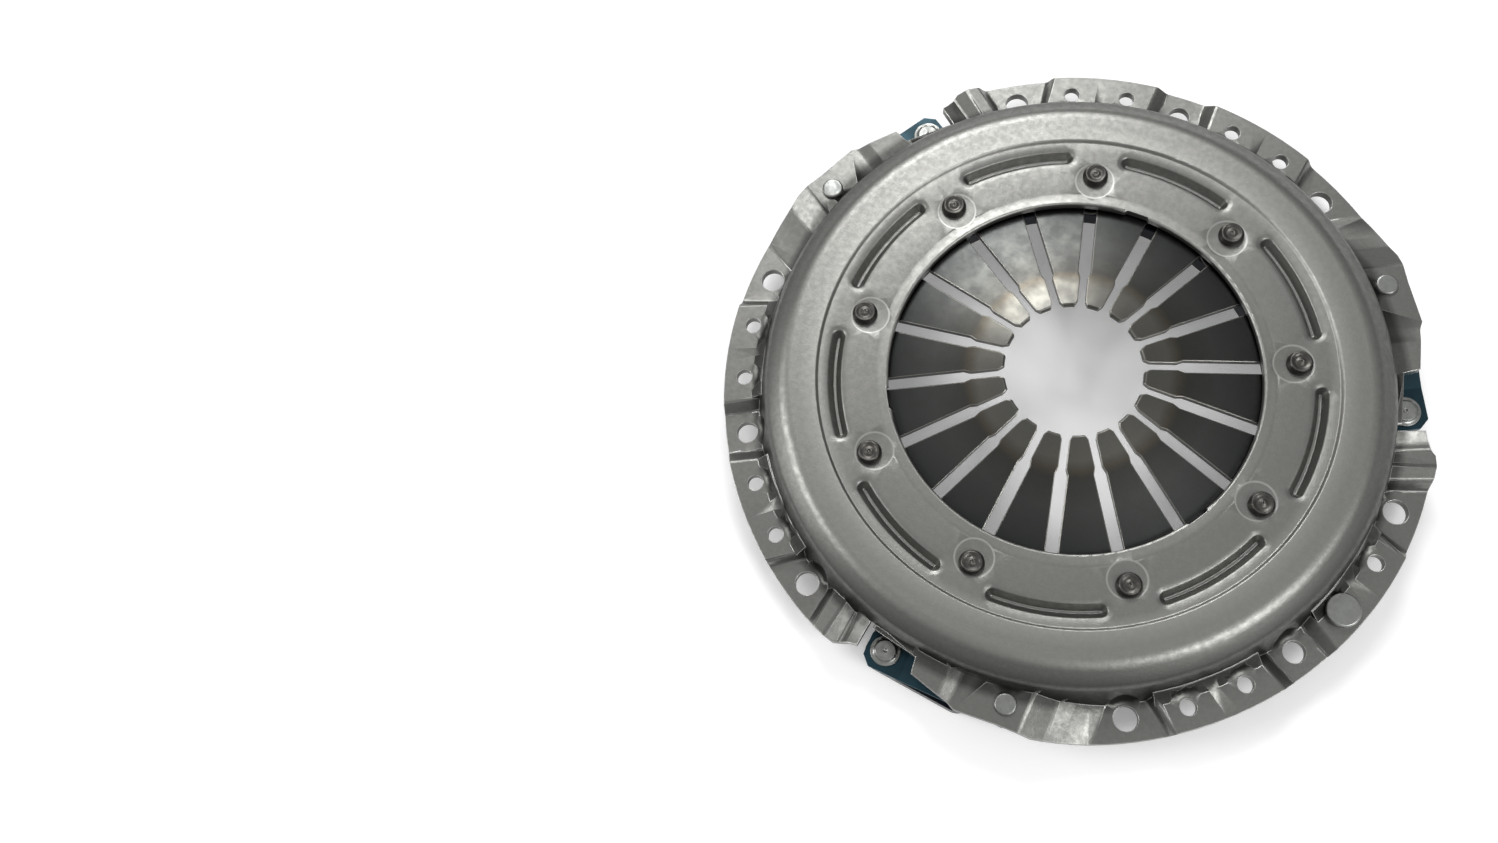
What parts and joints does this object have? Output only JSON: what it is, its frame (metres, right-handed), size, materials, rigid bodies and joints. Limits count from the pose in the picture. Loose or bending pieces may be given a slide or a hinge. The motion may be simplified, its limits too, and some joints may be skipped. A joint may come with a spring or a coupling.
{
  "type": "clutch pressure plate",
  "caption": "Diaphragm spring clutch pressure plate: pressed steel cover with wavy bolting flange, spring fingers, drive straps and a cast friction ring.",
  "frame": {"origin": "on the clutch axis, in the plane where the cover flange seats on the flywheel", "axes": "+Z along the clutch axis, away from the flywheel and towards the release bearing; +Y through the middle locating hole of one flange group"},
  "size_m": [0.2796, 0.2767, 0.0396],
  "materials": {
    "cover_steel": "satin",
    "plate_iron": "machined",
    "spring_steel": "satin",
    "strap_steel": "blued",
    "dark_rivet": "oxide",
    "wire_steel": "drawn",
    "plated_rivet": "zinc plated"
  },
  "bodies": {
    "cover": {"cover_shell": "cover_steel", "fulcrum_ring": "wire_steel", "fulcrum_rivets": "dark_rivet", "strap_cover_rivets": "plated_rivet", "balance_rivet": "plated_rivet", "strap_a_leaf_1": "strap_steel", "strap_a_leaf_2": "strap_steel", "strap_a_leaf_3": "strap_steel", "strap_b_leaf_1": "strap_steel", "strap_b_leaf_2": "strap_steel", "strap_b_leaf_3": "strap_steel", "strap_c_leaf_1": "strap_steel", "strap_c_leaf_2": "strap_steel", "strap_c_leaf_3": "strap_steel"},
    "pressure_plate": {"pressure_plate": "plate_iron", "strap_plate_rivets": "plated_rivet"},
    "finger_01": {"diaphragm_finger_01": "spring_steel"},
    "finger_02": {"diaphragm_finger_02": "spring_steel"},
    "finger_03": {"diaphragm_finger_03": "spring_steel"},
    "finger_04": {"diaphragm_finger_04": "spring_steel"},
    "finger_05": {"diaphragm_finger_05": "spring_steel"},
    "finger_06": {"diaphragm_finger_06": "spring_steel"},
    "finger_07": {"diaphragm_finger_07": "spring_steel"},
    "finger_08": {"diaphragm_finger_08": "spring_steel"},
    "finger_09": {"diaphragm_finger_09": "spring_steel"},
    "finger_10": {"diaphragm_finger_10": "spring_steel"},
    "finger_11": {"diaphragm_finger_11": "spring_steel"},
    "finger_12": {"diaphragm_finger_12": "spring_steel"},
    "finger_13": {"diaphragm_finger_13": "spring_steel"},
    "finger_14": {"diaphragm_finger_14": "spring_steel"},
    "finger_15": {"diaphragm_finger_15": "spring_steel"},
    "finger_16": {"diaphragm_finger_16": "spring_steel"},
    "finger_17": {"diaphragm_finger_17": "spring_steel"},
    "finger_18": {"diaphragm_finger_18": "spring_steel"}
  },
  "joints": [
    {"name": "plate_lift", "type": "slide", "parent": "cover", "child": "pressure_plate", "axis": [0, 0, 1], "range_m": [0, 0.0022], "stiffness_N_per_m": 20000, "springref_m": -0.01, "deforming": ["strap_a_leaf_1", "strap_a_leaf_2", "strap_a_leaf_3", "strap_b_leaf_1", "strap_b_leaf_2", "strap_b_leaf_3", "strap_c_leaf_1", "strap_c_leaf_2", "strap_c_leaf_3"]},
    {"name": "finger_01_tilt", "type": "hinge", "parent": "cover", "child": "finger_01", "pos_m": [0.05389, 0.07555, 0.016], "axis": [0.8141, -0.5807, 0], "range_deg": [0, 9.6]},
    {"name": "finger_02_tilt", "type": "hinge", "parent": "cover", "child": "finger_02", "pos_m": [0.07648, 0.05256, 0.016], "axis": [0.5664, -0.8241, 0], "range_deg": [0, 9.6]},
    {"name": "finger_03_tilt", "type": "hinge", "parent": "cover", "child": "finger_03", "pos_m": [0.08984, 0.02323, 0.016], "axis": [0.2504, -0.9681, 0], "range_deg": [0, 9.6]},
    {"name": "finger_04_tilt", "type": "hinge", "parent": "cover", "child": "finger_04", "pos_m": [0.09237, -0.00889, 0.016], "axis": [-0.0958, -0.9954, 0], "range_deg": [0, 9.6]},
    {"name": "finger_05_tilt", "type": "hinge", "parent": "cover", "child": "finger_05", "pos_m": [0.08376, -0.03995, 0.016], "axis": [-0.4305, -0.9026, 0], "range_deg": [0, 9.6]},
    {"name": "finger_06_tilt", "type": "hinge", "parent": "cover", "child": "finger_06", "pos_m": [0.06504, -0.06619, 0.016], "axis": [-0.7133, -0.7009, 0], "range_deg": [0, 9.6]},
    {"name": "finger_07_tilt", "type": "hinge", "parent": "cover", "child": "finger_07", "pos_m": [0.03848, -0.08444, 0.016], "axis": [-0.91, -0.4147, 0], "range_deg": [0, 9.6]},
    {"name": "finger_08_tilt", "type": "hinge", "parent": "cover", "child": "finger_08", "pos_m": [0.00728, -0.09251, 0.016], "axis": [-0.9969, -0.0785, 0], "range_deg": [0, 9.6]},
    {"name": "finger_09_tilt", "type": "hinge", "parent": "cover", "child": "finger_09", "pos_m": [-0.0248, -0.08943, 0.016], "axis": [-0.9636, 0.2672, 0], "range_deg": [0, 9.6]},
    {"name": "finger_10_tilt", "type": "hinge", "parent": "cover", "child": "finger_10", "pos_m": [-0.05389, -0.07555, 0.016], "axis": [-0.8141, 0.5807, 0], "range_deg": [0, 9.6]},
    {"name": "finger_11_tilt", "type": "hinge", "parent": "cover", "child": "finger_11", "pos_m": [-0.07648, -0.05256, 0.016], "axis": [-0.5664, 0.8241, 0], "range_deg": [0, 9.6]},
    {"name": "finger_12_tilt", "type": "hinge", "parent": "cover", "child": "finger_12", "pos_m": [-0.08984, -0.02323, 0.016], "axis": [-0.2504, 0.9681, 0], "range_deg": [0, 9.6]},
    {"name": "finger_13_tilt", "type": "hinge", "parent": "cover", "child": "finger_13", "pos_m": [-0.09237, 0.00889, 0.016], "axis": [0.0958, 0.9954, 0], "range_deg": [0, 9.6]},
    {"name": "finger_14_tilt", "type": "hinge", "parent": "cover", "child": "finger_14", "pos_m": [-0.08376, 0.03995, 0.016], "axis": [0.4305, 0.9026, 0], "range_deg": [0, 9.6]},
    {"name": "finger_15_tilt", "type": "hinge", "parent": "cover", "child": "finger_15", "pos_m": [-0.06504, 0.06619, 0.016], "axis": [0.7133, 0.7009, 0], "range_deg": [0, 9.6]},
    {"name": "finger_16_tilt", "type": "hinge", "parent": "cover", "child": "finger_16", "pos_m": [-0.03848, 0.08444, 0.016], "axis": [0.91, 0.4147, 0], "range_deg": [0, 9.6]},
    {"name": "finger_17_tilt", "type": "hinge", "parent": "cover", "child": "finger_17", "pos_m": [-0.00728, 0.09251, 0.016], "axis": [0.9969, 0.0785, 0], "range_deg": [0, 9.6]},
    {"name": "finger_18_tilt", "type": "hinge", "parent": "cover", "child": "finger_18", "pos_m": [0.0248, 0.08943, 0.016], "axis": [0.9636, -0.2672, 0], "range_deg": [0, 9.6]}
  ],
  "couplings": [
    {"joint": "finger_01_tilt", "follows": "plate_lift", "rad_per_m": 76},
    {"joint": "finger_02_tilt", "follows": "plate_lift", "rad_per_m": 76},
    {"joint": "finger_03_tilt", "follows": "plate_lift", "rad_per_m": 76},
    {"joint": "finger_04_tilt", "follows": "plate_lift", "rad_per_m": 76},
    {"joint": "finger_05_tilt", "follows": "plate_lift", "rad_per_m": 76},
    {"joint": "finger_06_tilt", "follows": "plate_lift", "rad_per_m": 76},
    {"joint": "finger_07_tilt", "follows": "plate_lift", "rad_per_m": 76},
    {"joint": "finger_08_tilt", "follows": "plate_lift", "rad_per_m": 76},
    {"joint": "finger_09_tilt", "follows": "plate_lift", "rad_per_m": 76},
    {"joint": "finger_10_tilt", "follows": "plate_lift", "rad_per_m": 76},
    {"joint": "finger_11_tilt", "follows": "plate_lift", "rad_per_m": 76},
    {"joint": "finger_12_tilt", "follows": "plate_lift", "rad_per_m": 76},
    {"joint": "finger_13_tilt", "follows": "plate_lift", "rad_per_m": 76},
    {"joint": "finger_14_tilt", "follows": "plate_lift", "rad_per_m": 76},
    {"joint": "finger_15_tilt", "follows": "plate_lift", "rad_per_m": 76},
    {"joint": "finger_16_tilt", "follows": "plate_lift", "rad_per_m": 76},
    {"joint": "finger_17_tilt", "follows": "plate_lift", "rad_per_m": 76},
    {"joint": "finger_18_tilt", "follows": "plate_lift", "rad_per_m": 76}
  ]
}
